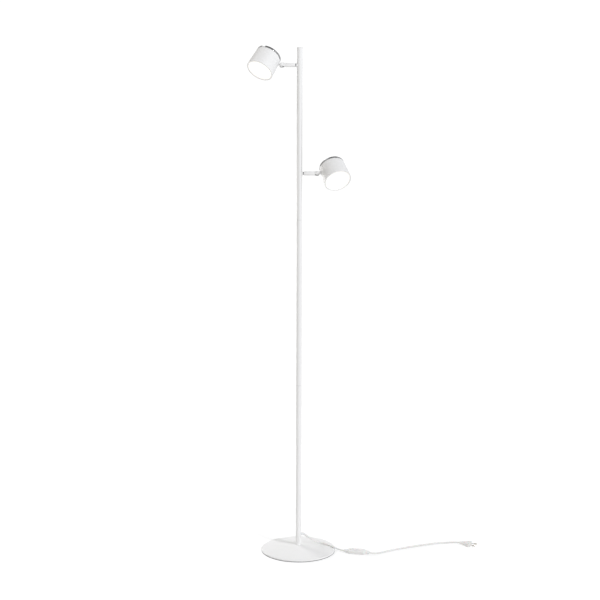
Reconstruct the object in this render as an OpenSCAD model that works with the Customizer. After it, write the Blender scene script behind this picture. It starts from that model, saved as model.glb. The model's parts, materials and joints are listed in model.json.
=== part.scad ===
// Adjustable arm floor lamp: a slim pole on a shallow conical base carries two
// short arms, and each arm ends in a knuckle joint with a round LED spot.
// Z is up and the origin is under the pole, on the floor. Millimetres.

/* [Base] */
// Diameter of the base
base_d = 222; // [200:1:260]
// Height of the base cover's rolled edge above the floor
base_edge_z = 6; // [6:0.5:9]
// Height of the base cover where the pole stands on it
base_top_z = 17; // [16:0.5:24]

/* [Pole] */
// Height of the whole lamp
lamp_h = 1500; // [1480:1:1560]
// Outside diameter of the pole
pole_d = 16; // [16:0.1:16.4]
// Wall of the pole tubes
pole_wall = 1.2; // [1.1:0.05:1.25]

/* [Arms] */
// Height of the upper arm
upper_z = 1449; // [1440:1:1460]
// Height of the lower arm
lower_z = 1139; // [1110:1:1250]
// Outside diameter of the arm tubes
arm_d = 12; // [12:0.1:12.4]
// Distance from the pole's axis to the knuckle pin
pin_x = 52; // [50:0.5:60]

/* [Heads] */
// Diameter of a head at its open front
head_front_d = 80; // [78:0.5:84]
// Diameter of a head's shell at its rear
head_rear_d = 75.2; // [74:0.2:76]
// Length of a head from the back plate to the front edge
head_len = 63.8; // [62:0.2:70]
// Roll of the upper head about its arm, away from straight down
upper_roll = 38.5; // [0:0.5:60]
// Outward tilt of the upper head
upper_tilt = 24.5; // [0:0.5:60]
// Roll of the lower head about its arm, away from straight down
lower_roll = -49; // [-60:0.5:0]
// Outward tilt of the lower head
lower_tilt = 16; // [0:0.5:60]

/* [Mains lead] */
// Diameter of the mains lead
cord_d = 5; // [4.4:0.1:5.4]
// Length of the in-line switch
switch_len = 76; // [70:1:76]
// Width of the in-line switch
switch_w = 22; // [20:0.5:26]
// Height of the in-line switch's housing
switch_h = 13; // [12:0.5:15]
// Length of the mains plug's body, without its pins
plug_len = 36; // [32:1:38]

/* [Hidden] */

$fn = 96;
eps = 0.01;
play = 0.05;            // radial play of a running or sliding fit

// Colours
paint = "whitesmoke";
bright = "silver";
steel = "gray";
rubber = "dimgray";
pvc = "white";

// Base
base_r = base_d / 2;
sheet = 1.2;            // steel sheet of the cover
pad_t = 1.5;            // foam pad under the base
plate_t = 1.4;          // bottom plate
cover_z = 1.8;          // lower edge of the cover
seat_r = 9;             // flat seat under the pole
edge_round = 2.4;       // radius of the rolled edge
cone_power = 1.4;       // makes the cone slightly hollow
cone_steps = 16;
cone_under = 0.2;       // the sheet's lower face is this much closer to the axis
recess_r = 14;          // pocket in the weight for the nut
recess_top = 10.5;
nut_z = 4.2;
washer_t = 1.5;
stud_r = 5;             // M10 stud that holds the pole on the base
nut_flats = 16;
screw_ring_r = 70;      // circle of the base screws
screw_turns = [45:90:315];
base_screw_r = 1.45;
base_screw_head_r = 3.1;

// Pole
pole_r = pole_d / 2;
pole_in = pole_r - pole_wall;
cap_t = 3;
section_h = (lamp_h - cap_t - base_top_z) / 3;
seam_low = base_top_z + section_h;
seam_high = base_top_z + 2 * section_h;
seam_gap = 0.6;
joiner_reach = 30;
foot_h = 28;
foot_drive = 25;        // depth of the foot's threaded bore
gland_z = 50;
gland_turn = 25;        // the lead leaves to the right and a little to the rear
gland_r = 3.45;
flange_r = 4.6;
inner_x = -3.9;         // the inner cable runs beside the sockets
inner_r = 1.5;
inner_turn_x = 4.9;     // the inner cable's lower end reaches the gland at this radius

// Arms, drawn pointing along +X at height 0
arm_r = arm_d / 2;
arm_bore = arm_r - 1;
wire_r = 2.2;           // bore for the wires
socket_r = 4.9;
spigot_r = 3.9;
socket_in_x = 0.8;
socket_out_x = 10;
ferrule_x = 10.2;
neck_r = 4.4;           // slim neck between the socket and the arm tube
arm_x = 13;
arm_end_x = 43;
collar_x = 45.5;
slot_half = 3.2;        // half of the gap between the fork's cheeks
cheek_y = 5.8;          // outer face of a cheek
cheek_r = 6;
eye_r = 5.8;
tongue_half = 1.6;
tongue_h = 9;
washer_r = 5.6;
pin_r = 2;
pin_head_r = 3.6;

// Heads, drawn about their own axis: z = 0 at the back, z = head_len at the front
front_r = head_front_d / 2;
rear_r = head_rear_d / 2;
back_t = 5;
shell_wall = 1.5;
head_x = 100.5;         // the head's axis, measured from the pole's axis, before any tilt
pin_depth = 19;         // the knuckle pin lies this far ahead of the back
head_round = 3;
back_screw_ring_r = 8;
back_screw_turns = [30:120:270];
back_screw_r = 1.45;
fins = 12;

// Mains lead: the route's points, from the gland to the switch and on to the plug
cord_r = cord_d / 2;
lead_a = [[28, 13, 38.5], [36, 18.2, 31.5], [45, 23.6, 24.2], [55, 28, 18], [66, 30, 13.6],
          [78, 27, 11], [90, 19, 9.9], [100, 8.5, 9.3], [109, -2.5, 8.7], [118, -12, 7.9],
          [127.5, -19.2, 7.1], [138, -24, 6.5]];
boot_bend = [[15.6, 7, 48.2], [21.9, 9.7, 43.8]];
switch_in = lead_a[len(lead_a) - 1];
switch_turn = -12;
switch_out = switch_in + switch_len * [cos(switch_turn), sin(switch_turn), 0];
lead_b = concat([switch_out], [
    [222, -41, 4.7], [236, -37, 2.9], [252, -28, 2.5], [270, -16, 2.5], [288, -5, 2.5],
    [309, 6, 2.5], [328, 16, 2.5], [348, 26, 2.5], [372, 36, 2.5], [398, 47, 2.5],
    [422, 56, 2.5], [445, 61, 2.6], [464, 61, 3.5], [479, 57, 5.6], [492, 51.6, 6.85]]);
plug_in = lead_b[len(lead_b) - 1];
plug_turn = -26;
pin_half = 9.3;         // half of the plug pins' spacing
shank_r = 1.6;          // a pin's shank inside the plug
tip_l = 18;             // a pin's straight length

// In-line switch, drawn along +X from where the lead enters it
neck_half = 4.4;
wall = 3;
split_z = 6.2;          // the housing's two halves meet here
crown = 1.6;            // the top edge is stepped in over this height
rocker_x = 30;          // centre of the rocker along the switch
rocker_l = 17;
rocker_w = 11;
rocker_gap = 0.4;
rocker_pivot_z = 10.6;
rocker_tip = 8;         // slope of each half
trunnion_r = 1.2;
trunnion_half = 7.4;

function bend(p, k) = p[max(0, min(len(p) - 1, k))];
function spline(p, k, t) =
    let (a = bend(p, k - 1), b = bend(p, k), c = bend(p, k + 1), d = bend(p, k + 2))
    0.5 * (2 * b + (c - a) * t + (2 * a - 5 * b + 4 * c - d) * t * t
           + (3 * b - a - 3 * c + d) * t * t * t);
function unit(v) = v / norm(v);

// Height of the cover's upper face at radius r
function cone_z(r) =
    let (t = min(1, max(0, (r - seat_r) / (base_r - seat_r))))
    base_edge_z + (base_top_z - base_edge_z) * pow(1 - t, cone_power);
// Outer face of the shell at distance z from the back
function shell_r(z) =
    rear_r + (front_r - rear_r) * (z - back_t - head_round) / (head_len - back_t - head_round);

// ---- helpers -------------------------------------------------------------

// A tube along a list of points, as one closed surface with eight sides
module swept(p, r, steps) {
    sides = 8;
    rings = (len(p) - 1) * steps;
    pts = [for (i = [0:rings]) spline(p, floor(i / steps), (i % steps) / steps)];
    along = [for (i = [0:rings]) unit(pts[min(rings, i + 1)] - pts[max(0, i - 1)])];
    skin = [for (i = [0:rings])
        let (side = unit(cross(along[i], [0, 0, 1])), up = cross(side, along[i]))
        for (j = [0:sides - 1]) pts[i] + r * (cos(360 * j / sides) * side
                                              + sin(360 * j / sides) * up)];
    walls = [for (i = [0:rings - 1], j = [0:sides - 1])
        [i * sides + j, i * sides + (j + 1) % sides,
         (i + 1) * sides + (j + 1) % sides, (i + 1) * sides + j]];
    first = [[for (j = [0:sides - 1]) sides - 1 - j]];
    last = [[for (j = [0:sides - 1]) rings * sides + j]];
    polyhedron(skin, concat(walls, first, last));
}

// A ring or a tube section standing on z = 0
module ring(r_out, r_in, h) {
    difference() {
        cylinder(r = r_out, h = h);
        translate([0, 0, -eps]) cylinder(r = r_in, h = h + 2 * eps);
    }
}

// Turns something drawn upright about z to run along +X
module along_x() { rotate([0, 90, 0]) children(); }
// Turns something drawn upright about z to run along +Y
module along_y() { rotate([-90, 0, 0]) children(); }

// Places an arm's pieces: "upper" points to -X, "lower" to +X, rolled as at rest
module on_arm(which) {
    up = which == "upper";
    translate([0, 0, up ? upper_z : lower_z])
        rotate([0, 0, up ? 180 : 0])
            rotate([up ? upper_roll : lower_roll, 0, 0]) children();
}

// Places the knuckle's screw and nut, so that the screw's head is above on both arms
module on_knuckle(which) {
    on_arm(which) translate([pin_x, 0, 0]) rotate([which == "lower" ? 180 : 0, 0, 0]) children();
}

// Places a head's pieces, drawn about the pin with the head's axis pointing down
module on_pin(which) {
    on_arm(which) translate([pin_x, 0, 0])
        rotate([0, which == "upper" ? -upper_tilt : -lower_tilt, 0]) children();
}

// Places what is drawn about the head's own axis
module on_head(which) {
    on_pin(which) translate([head_x - pin_x, 0, pin_depth]) rotate([180, 0, 0]) children();
}

// Places what is drawn about the plug or the switch, +X along the lead
module on_switch() {
    translate([switch_in[0], switch_in[1], 0]) rotate([0, 0, switch_turn]) children();
}
module on_plug() { translate(plug_in) rotate([0, 0, plug_turn]) children(); }

// ---- base ----------------------------------------------------------------

cone = [for (i = [0:cone_steps])
    let (r = seat_r + (base_r - edge_round - seat_r) * i / cone_steps) [r, cone_z(r)]];

module cover_outline() {
    polygon(concat(
        [[0, cover_z], [0, base_top_z]], cone,
        [for (a = [80:-20:0]) [base_r - edge_round + edge_round * cos(a),
                               cone_z(base_r - edge_round) - edge_round * (1 - sin(a))]],
        [[base_r, cover_z]]));
}

module base_cover() {
    color(paint) difference() {
        rotate_extrude($fn = 128) difference() {
            cover_outline();
            // the hollow under the sheet
            polygon(concat(
                [[-1, 0], [-1, base_top_z - sheet]],
                [for (p = cone) [p[0] - cone_under, p[1] - sheet]],
                [[base_r - sheet, base_edge_z - edge_round], [base_r - sheet, 0]]));
        }
        cylinder(r = stud_r + 2 * play, h = base_top_z + 1);
    }
}

module base_weight() {
    lift = 0.2;
    bottom = pad_t + plate_t;
    color(steel) difference() {
        rotate_extrude($fn = 128) polygon(concat(
            [[0, bottom], [0, base_top_z - sheet - lift]],
            [for (p = cone) if (p[0] < base_r - 9) [p[0] - cone_under, p[1] - sheet - lift]],
            [[base_r - 8, bottom + 1], [base_r - 8, bottom]]));
        cylinder(r = stud_r + 2 * play, h = base_top_z);
        translate([0, 0, bottom - 1]) cylinder(r = recess_r, h = recess_top - bottom + 1);
        for (a = screw_turns) rotate([0, 0, a]) translate([screw_ring_r, 0, bottom - 1])
            cylinder(r = base_screw_r + play, h = 5, $fn = 24);
    }
}

module base_plate() {
    color(steel) translate([0, 0, pad_t]) difference() {
        cylinder(r = base_r - 3, h = plate_t, $fn = 128);
        for (a = screw_turns) rotate([0, 0, a]) translate([screw_ring_r, 0, -eps]) {
            cylinder(r = base_screw_r + 0.15, h = plate_t + 1, $fn = 24);
            cylinder(r = base_screw_head_r + 0.1, h = 0.8, $fn = 24);
        }
    }
}

module base_pad() {
    color(rubber) cylinder(r = base_r - 5, h = pad_t, $fn = 128);
}

module base_screws() {
    color(bright) for (a = screw_turns) rotate([0, 0, a]) translate([screw_ring_r, 0, pad_t]) {
        cylinder(r = base_screw_r, h = 5.2, $fn = 24);
        difference() {
            cylinder(r = base_screw_head_r, h = 0.75, $fn = 24);
            translate([-2.2, -0.3, -eps]) cube([4.4, 0.6, 0.4]);
        }
    }
}

module pole_stud() {
    foot_play = 1;
    color(bright) translate([0, 0, nut_z + 0.2])
        cylinder(r = stud_r - play, h = base_top_z + foot_drive - foot_play - nut_z - 0.2);
}

module base_washer() {
    color(bright) translate([0, 0, recess_top - washer_t]) ring(12, stud_r + 0.2, washer_t);
}

module base_nut() {
    color(bright) translate([0, 0, nut_z]) difference() {
        cylinder(d = nut_flats / cos(30), h = recess_top - washer_t - nut_z, $fn = 6);
        translate([0, 0, -eps]) cylinder(r = stud_r, h = 10);
    }
}

// ---- pole ----------------------------------------------------------------

module pole_foot() {
    color(steel) translate([0, 0, base_top_z]) difference() {
        cylinder(r = pole_in - play, h = foot_h);
        translate([0, 0, -eps]) cylinder(r = stud_r, h = foot_drive);
    }
}

module pole_section(z0, z1) {
    translate([0, 0, z0]) ring(pole_r, pole_in, z1 - z0);
}

module pole_lower() {
    color(paint) difference() {
        pole_section(base_top_z, seam_low - seam_gap / 2);
        translate([0, 0, gland_z]) rotate([0, 0, gland_turn]) along_x()
            cylinder(r = gland_r + play, h = 12);
    }
}

module pole_middle() {
    color(paint) pole_section(seam_low + seam_gap / 2, seam_high - seam_gap / 2);
}

module pole_upper() {
    color(paint) difference() {
        pole_section(seam_high + seam_gap / 2, lamp_h - cap_t);
        for (s = [[lower_z, 1], [upper_z, -1]])
            translate([0, 0, s[0]]) rotate([0, 90 * s[1], 0])
                cylinder(r = socket_r + play, h = 12);
    }
}

module joiner(z) {
    color(bright) translate([0, 0, z]) difference() {
        union() {
            translate([0, 0, -joiner_reach]) cylinder(r = pole_in - play, h = 2 * joiner_reach);
            translate([0, 0, -seam_gap / 2]) cylinder(r = pole_r - 0.3, h = seam_gap);
        }
        translate([0, 0, -joiner_reach - eps]) cylinder(r = pole_in - 1.2, h = 2 * joiner_reach + 1);
    }
}

module lower_joiner() { joiner(seam_low); }
module upper_joiner() { joiner(seam_high); }

module pole_cap() {
    plug_h = 12;
    color(paint) translate([0, 0, lamp_h - cap_t]) {
        rotate_extrude() polygon(concat(
            [[0, -plug_h], [0, cap_t]],
            [for (a = [90:-30:0]) [pole_r - 1 + cos(a), cap_t - 1 + sin(a)]],
            [[pole_r, 0], [pole_in - play, 0], [pole_in - play, -plug_h]]));
    }
}

// Strain relief: a collar in the pole's wall and a soft boot that droops with the lead
module cable_gland() {
    neck = [9.6 * cos(gland_turn), 9.6 * sin(gland_turn), gland_z];
    bead = [[neck, 4.2], [boot_bend[0], 3.8], [boot_bend[1], 3.3], [lead_a[0], cord_r + 0.25]];
    way = unit(lead_a[1] - lead_a[0]);
    color(pvc) {
        difference() {
            translate([0, 0, gland_z]) rotate([0, 0, gland_turn]) along_x() {
                translate([0, 0, 5]) cylinder(r = gland_r, h = 4);
                translate([0, 0, 6.6]) cylinder(r = flange_r, h = 3);
            }
            difference() {
                translate([0, 0, gland_z - 10]) cylinder(r = pole_r, h = 20);
                translate([0, 0, gland_z]) rotate([0, 0, gland_turn]) along_x()
                    cylinder(r = gland_r, h = 12);
            }
        }
        difference() {
            for (i = [0:2]) hull() for (b = [bead[i], bead[i + 1]])
                translate(b[0]) sphere(r = b[1], $fn = 24);
            // the boot ends where the lead comes out, square to the lead
            translate(lead_a[0]) rotate([0, acos(way[2]), atan2(way[1], way[0])])
                cylinder(r = 6, h = 6);
            translate([0, 0, gland_z - 12]) cylinder(r = pole_r + 0.2, h = 24);
        }
    }
}

// The lead inside the pole, from the gland up to the arms
module inner_cable() {
    below_arm = 9;
    dx = inner_turn_x * cos(gland_turn) - inner_x;
    dy = inner_turn_x * sin(gland_turn);
    color(pvc) translate([inner_x, 0, gland_z]) {
        cylinder(r = inner_r, h = upper_z - below_arm - gland_z, $fn = 24);
        sphere(r = inner_r, $fn = 24);
        rotate([0, 0, atan2(dy, dx)]) along_x()
            cylinder(r = inner_r, h = norm([dx, dy]) - 0.2, $fn = 24);
    }
}

// ---- arms ----------------------------------------------------------------

// Turned bush fixed in the pole, with a saddle flange outside
module arm_socket(which) {
    color(paint) translate([0, 0, which == "upper" ? upper_z : lower_z])
        rotate([0, 0, which == "upper" ? 180 : 0]) difference() {
            union() {
                translate([socket_in_x, 0, 0]) along_x()
                    cylinder(r = socket_r, h = socket_out_x - socket_in_x);
                difference() {
                    translate([4, 0, 0]) along_x() cylinder(r = arm_r, h = socket_out_x - 4);
                    translate([0, 0, -10]) cylinder(r = pole_r, h = 20);
                }
            }
            along_x() cylinder(r = spigot_r + play, h = socket_out_x + 1);
        }
}

module upper_arm_socket() { arm_socket("upper"); }
module lower_arm_socket() { arm_socket("lower"); }

module arm_tube(which) {
    color(paint) on_arm(which) translate([arm_x, 0, 0]) along_x()
        ring(arm_r, arm_bore, arm_end_x - arm_x);
}

// Swivel ferrule: it turns in the socket and carries the arm tube
module arm_ferrule(which) {
    tail = 1.2;             // reaches past the pole's axis, where the snap ring holds it
    color(bright) on_arm(which) difference() {
        union() {
            translate([-tail, 0, 0]) along_x() cylinder(r = spigot_r, h = ferrule_x + tail);
            translate([ferrule_x, 0, 0]) along_x() cylinder(r = neck_r, h = arm_x - ferrule_x);
            translate([arm_x, 0, 0]) along_x() cylinder(r = arm_bore - play, h = 8);
        }
        translate([-2, 0, 0]) along_x() cylinder(r = wire_r, h = 30);
    }
}

// Snap ring that keeps the ferrule in the socket
module arm_clip(which) {
    color(steel) on_arm(which) translate([-0.4, 0, 0]) along_x() difference() {
        ring(5.2, spigot_r + 0.02, 1);
        translate([2, -1, -1]) cube([6, 2, 4]);
    }
}

module knuckle_fork(which) {
    color(paint) on_arm(which) difference() {
        union() {
            translate([arm_end_x - 10, 0, 0]) along_x() cylinder(r = arm_bore - play, h = 10);
            translate([arm_end_x, 0, 0]) along_x() cylinder(r = arm_r, h = collar_x - arm_end_x);
            intersection() {
                translate([collar_x, 0, 0]) along_x() cylinder(r = arm_r + 1.2, h = 20);
                for (s = [-1, 1]) translate([0, s * (slot_half + cheek_y) / 2, 0]) union() {
                    translate([collar_x - eps, -(cheek_y - slot_half) / 2, -cheek_r])
                        cube([pin_x - collar_x + eps, cheek_y - slot_half, 2 * cheek_r]);
                    translate([pin_x, -(cheek_y - slot_half) / 2, 0]) along_y()
                        cylinder(r = cheek_r, h = cheek_y - slot_half);
                }
            }
        }
        translate([pin_x, -10, 0]) along_y() cylinder(r = pin_r + 0.02, h = 20);
        translate([arm_end_x - 11, 0, 0]) along_x() cylinder(r = wire_r, h = 20);
    }
}

module knuckle_screw(which) {
    color(paint) on_knuckle(which) {
        translate([0, -cheek_y - 2, 0]) along_y() cylinder(r = pin_r, h = 2 * cheek_y + 2);
        translate([0, cheek_y, 0]) difference() {
            rotate([-90, 0, 0]) rotate_extrude() polygon(
                [[0, 0], [pin_head_r, 0], [pin_head_r, 0.9], [3.2, 1.5], [2.4, 1.9], [0, 2]]);
            translate([0, 1, 0]) along_y() cylinder(d = 2.9, h = 2, $fn = 6);
        }
    }
}

module knuckle_nut(which) {
    color(bright) on_knuckle(which) translate([0, -cheek_y, 0]) rotate([90, 0, 0]) difference() {
        rotate_extrude() polygon(
            [[0, 0], [pin_head_r, 0], [pin_head_r, 1.4], [3, 2.4], [1.8, 2.9], [0, 3]]);
        translate([0, 0, -eps]) cylinder(r = pin_r + 0.02, h = 2.1);
    }
}

module knuckle_washers(which) {
    gap = 0.05;
    color(rubber) on_arm(which) for (s = [0, 1])
        translate([pin_x, s == 0 ? tongue_half + gap : -slot_half, 0]) along_y()
            ring(washer_r, pin_r + 0.1, slot_half - tongue_half - gap);
}

// ---- heads ---------------------------------------------------------------

// Side tongue: an eye on the knuckle pin, and a foot inside the shell's wall
module head_tongue(which) {
    wall_x = head_x - pin_x - shell_r(pin_depth) + shell_wall;
    foot = 14;              // square foot that is screwed and glued behind the shell's wall
    color(paint) on_pin(which) difference() {
        union() {
            translate([0, -tongue_half, 0]) along_y() cylinder(r = eye_r, h = 2 * tongue_half);
            translate([0, -tongue_half, -tongue_h / 2])
                cube([wall_x + 2, 2 * tongue_half, tongue_h]);
            translate([wall_x + 1.2, -foot / 2, -foot / 2]) cube([1.6, foot, foot]);
        }
        translate([0, -5, 0]) along_y() cylinder(r = pin_r + 0.06, h = 10);
    }
}

module shell_profile() {
    polygon(concat(
        [[30, back_t]],
        [for (a = [90:-15:0]) [rear_r - head_round + head_round * cos(a),
                               back_t + head_round - head_round * sin(a)]],
        [[front_r, head_len - 0.6], [front_r - 0.6, head_len],
         [front_r - shell_wall + 0.3, head_len], [front_r - shell_wall, head_len - 0.3]],
        [for (a = [0:30:90]) [rear_r - head_round + (head_round - shell_wall) * cos(a),
                              back_t + head_round - (head_round - shell_wall) * sin(a)]],
        [[30, back_t + shell_wall]]));
}

module head_shell(which) {
    color(paint) difference() {
        on_head(which) rotate_extrude($fn = 128) shell_profile();
        // slot for the tongue
        on_pin(which) translate([4, -tongue_half - play, -tongue_h / 2 - play])
            cube([14, 2 * (tongue_half + play), tongue_h + 2 * play]);
    }
}

module head_bezel(which) {
    out = front_r - shell_wall - 0.15;
    color(paint) on_head(which) translate([0, 0, head_len - 5.8]) rotate_extrude($fn = 128)
        polygon([[out - 0.25, 0], [out, 5], [out - 0.8, 5.6], [out - 2.2, 5.6],
                 [out - 2.9, 4.4], [out - 2.9, 3.9], [out - 1.5, 3.9], [out - 1.7, 0]]);
}

module head_diffuser(which) {
    color("ivory") on_head(which) translate([0, 0, head_len - 4.2])
        cylinder(r = front_r - shell_wall - 1.9, h = 2.2, $fn = 128);
}

module head_reflector(which) {
    color(paint) on_head(which) rotate_extrude($fn = 96) polygon(
        [[27, 27.7], [31, 27.7], [31.6, 30], [35.8, 57], [36.4, 57], [36.4, 59.4],
         [34.8, 59.4], [30.4, 30], [27, 29]]);
}

module head_led_board(which) {
    color("khaki") on_head(which) {
        translate([0, 0, 26]) cylinder(r = 29, h = 1.6);
        for (ring_n = [[10, 6], [20, 12]]) for (k = [0:ring_n[1] - 1])
            rotate([0, 0, 360 * k / ring_n[1]]) translate([ring_n[0] - 1.4, -1.4, 27.5])
                cube([2.8, 2.8, 0.9]);
    }
}

// Finned sink: a front disc, a core and its fins
module head_heat_sink(which) {
    color(steel) on_head(which) difference() {
        union() {
            translate([0, 0, 22]) cylinder(r = 32.5, h = 4);
            translate([0, 0, 3]) cylinder(r = 12, h = 20);
            for (k = [0:fins - 1]) rotate([0, 0, 360 * (k + 0.5) / fins])
                translate([10, -0.9, 8]) cube([20.5, 1.8, 15]);
        }
        for (a = back_screw_turns) rotate([0, 0, a]) translate([back_screw_ring_r, 0, 0])
            cylinder(r = back_screw_r + play, h = 16, $fn = 24);
    }
}

// Bright back plate with a rounded edge and a shallow turned recess
module head_back_plate(which) {
    r = rear_r - 0.6;
    color(bright) on_head(which) difference() {
        rotate_extrude($fn = 128) polygon(concat(
            [[0, 0.8], [r - 7, 0.8], [r - 6.4, 0], [r - 1.2, 0]],
            [for (a = [60:-30:0]) [r - 1.2 + 1.2 * cos(a), 1.2 - 1.2 * sin(a)]],
            [[r, 4.2], [r - 0.8, back_t], [29.8, back_t], [29.8, 6.6], [26, 6.6],
             [26, 3], [0, 3]]));
        for (a = back_screw_turns) rotate([0, 0, a]) translate([back_screw_ring_r, 0, -1])
            cylinder(r = back_screw_r + 0.15, h = 8, $fn = 24);
    }
}

module head_screws(which) {
    color(bright) on_head(which) for (a = back_screw_turns)
        rotate([0, 0, a]) translate([back_screw_ring_r, 0, 0]) {
            translate([0, 0, 0.5]) cylinder(r = back_screw_r, h = 14, $fn = 24);
            difference() {
                translate([0, 0, -0.6]) cylinder(r = 2.8, h = 1.4, $fn = 32);
                translate([0, 0, -1]) cylinder(d = 2.2, h = 1.1, $fn = 6);
            }
        }
}

// ---- mains lead ----------------------------------------------------------

module cord_to_switch() { color(pvc) swept(lead_a, cord_r, 4); }
module cord_to_plug() { color(pvc) swept(lead_b, cord_r, 4); }

// Outline of the switch seen from above, with a narrower neck at each end
module switch_outline(inset) {
    half = switch_w / 2;
    quarter = [[0, neck_half], [9, neck_half + 0.6], [15, half - 1], [18, half]];
    side = concat(quarter, [for (i = [3:-1:0]) [switch_len - quarter[i][0], quarter[i][1]]]);
    offset(delta = -inset) polygon(concat(
        side, [for (i = [len(side) - 1:-1:0]) [side[i][0], -side[i][1]]]));
}

module switch_base() {
    color(pvc) on_switch() difference() {
        translate([0, 0, 0.2]) linear_extrude(split_z - 0.2) switch_outline(0);
        translate([12, -switch_w / 2 + wall, 1.8]) cube([switch_len - 24, switch_w - 2 * wall, 10]);
        for (x = [6, switch_len - 6]) translate([x, 0, -1]) cylinder(r = 1.3, h = 5, $fn = 24);
    }
}

module switch_cover() {
    gap_y = rocker_w / 2 + rocker_gap;
    lug_t = switch_w / 2 - wall - gap_y + 0.2;
    color(pvc) on_switch() {
        difference() {
            union() {
                translate([0, 0, split_z])
                    linear_extrude(switch_h - split_z - crown) switch_outline(0);
                translate([0, 0, switch_h - crown]) linear_extrude(crown) switch_outline(1.1);
            }
            translate([12, -switch_w / 2 + wall, 0])
                cube([switch_len - 24, switch_w - 2 * wall, switch_h - 1.8]);
            translate([rocker_x - rocker_l / 2 - rocker_gap, -gap_y, 0])
                cube([rocker_l + 2 * rocker_gap, 2 * gap_y, switch_h + 2]);
            trunnion_bore();
        }
        // bearing lugs for the rocker's trunnions
        difference() {
            for (y = [gap_y, -gap_y - lug_t]) translate([rocker_x - 2.4, y, rocker_pivot_z - 2.4])
                cube([4.8, lug_t, 3.2]);
            trunnion_bore();
        }
    }
}

module trunnion_bore() {
    translate([rocker_x, -trunnion_half - 0.2, rocker_pivot_z]) along_y()
        cylinder(r = trunnion_r + play, h = 2 * trunnion_half + 0.4);
}

module switch_screws() {
    color(bright) on_switch() for (x = [6, switch_len - 6]) translate([x, 0, 0.4])
        cylinder(r = 1.25, h = 3.4, $fn = 24);
}

// Rocker: a shallow V seen from the side, tipped so that one half is flush, on two trunnions
module switch_rocker() {
    half = rocker_l / 2;
    rise = half * tan(rocker_tip);
    color(pvc) on_switch() translate([rocker_x, 0, rocker_pivot_z]) {
        translate([0, rocker_w / 2, 0]) rotate([90, 0, 0]) rotate([0, 0, -rocker_tip])
            linear_extrude(rocker_w) polygon(
                [[-half, rise], [-half + 0.4, rise + 2.6], [0, 2.6], [half - 0.4, rise + 2.6],
                 [half, rise], [half - 2.5, -1.4], [0, -2.4], [-half + 2.5, -1.4]]);
        translate([0, -trunnion_half, 0]) along_y() cylinder(r = trunnion_r, h = 2 * trunnion_half);
    }
}

// Flat two-pin plug: the body tapers from the pins' face to the lead
module plug_body() {
    half_t = plug_in[2] - 0.15;
    color(pvc) on_plug() difference() {
        hull() {
            translate([plug_len - 3, 0, 0]) cube([6, 33, 2 * half_t - 5], center = true);
            translate([plug_len - 3, 0, 0]) cube([6, 28, 2 * half_t], center = true);
            translate([8, 0, 0]) along_x() cylinder(r = 5.6, h = 2, $fn = 32);
            along_x() cylinder(r = cord_r + 0.6, h = 2, $fn = 32);
        }
        for (s = [-1, 1]) translate([plug_len - 9, s * pin_half, 0]) along_x()
            cylinder(r = shank_r, h = 12, $fn = 32);
    }
}

module plug_pins() {
    color(bright) on_plug() for (s = [-1, 1]) translate([plug_len, s * pin_half, 0]) along_x() {
        translate([0, 0, -8.5]) cylinder(r = shank_r, h = 9, $fn = 32);
        cylinder(r = 2, h = tip_l, $fn = 32);
        translate([0, 0, tip_l]) cylinder(r1 = 2, r2 = 1.2, h = 1, $fn = 32);
    }
}

base_cover();
base_weight();
base_plate();
base_pad();
base_screws();
pole_stud();
base_washer();
base_nut();
pole_foot();
pole_lower();
lower_joiner();
pole_middle();
upper_joiner();
pole_upper();
pole_cap();
cable_gland();
inner_cable();
upper_arm_socket();
lower_arm_socket();
cord_to_switch();
switch_base();
switch_cover();
switch_screws();
switch_rocker();
cord_to_plug();
plug_body();
plug_pins();
arm_tube("upper");  // upper_arm_tube
arm_ferrule("upper");  // upper_arm_ferrule
arm_clip("upper");  // upper_arm_clip
knuckle_fork("upper");  // upper_knuckle_fork
knuckle_screw("upper");  // upper_knuckle_screw
knuckle_nut("upper");  // upper_knuckle_nut
knuckle_washers("upper");  // upper_knuckle_washers
head_tongue("upper");  // upper_head_tongue
head_shell("upper");  // upper_head_shell
head_bezel("upper");  // upper_head_bezel
head_diffuser("upper");  // upper_head_diffuser
head_reflector("upper");  // upper_head_reflector
head_led_board("upper");  // upper_head_led_board
head_heat_sink("upper");  // upper_head_heat_sink
head_back_plate("upper");  // upper_head_back_plate
head_screws("upper");  // upper_head_screws
arm_tube("lower");  // lower_arm_tube
arm_ferrule("lower");  // lower_arm_ferrule
arm_clip("lower");  // lower_arm_clip
knuckle_fork("lower");  // lower_knuckle_fork
knuckle_screw("lower");  // lower_knuckle_screw
knuckle_nut("lower");  // lower_knuckle_nut
knuckle_washers("lower");  // lower_knuckle_washers
head_tongue("lower");  // lower_head_tongue
head_shell("lower");  // lower_head_shell
head_bezel("lower");  // lower_head_bezel
head_diffuser("lower");  // lower_head_diffuser
head_reflector("lower");  // lower_head_reflector
head_led_board("lower");  // lower_head_led_board
head_heat_sink("lower");  // lower_head_heat_sink
head_back_plate("lower");  // lower_head_back_plate
head_screws("lower");  // lower_head_screws
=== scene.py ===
import json
import math

import bmesh
import bpy
from mathutils import Matrix, Vector


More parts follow.
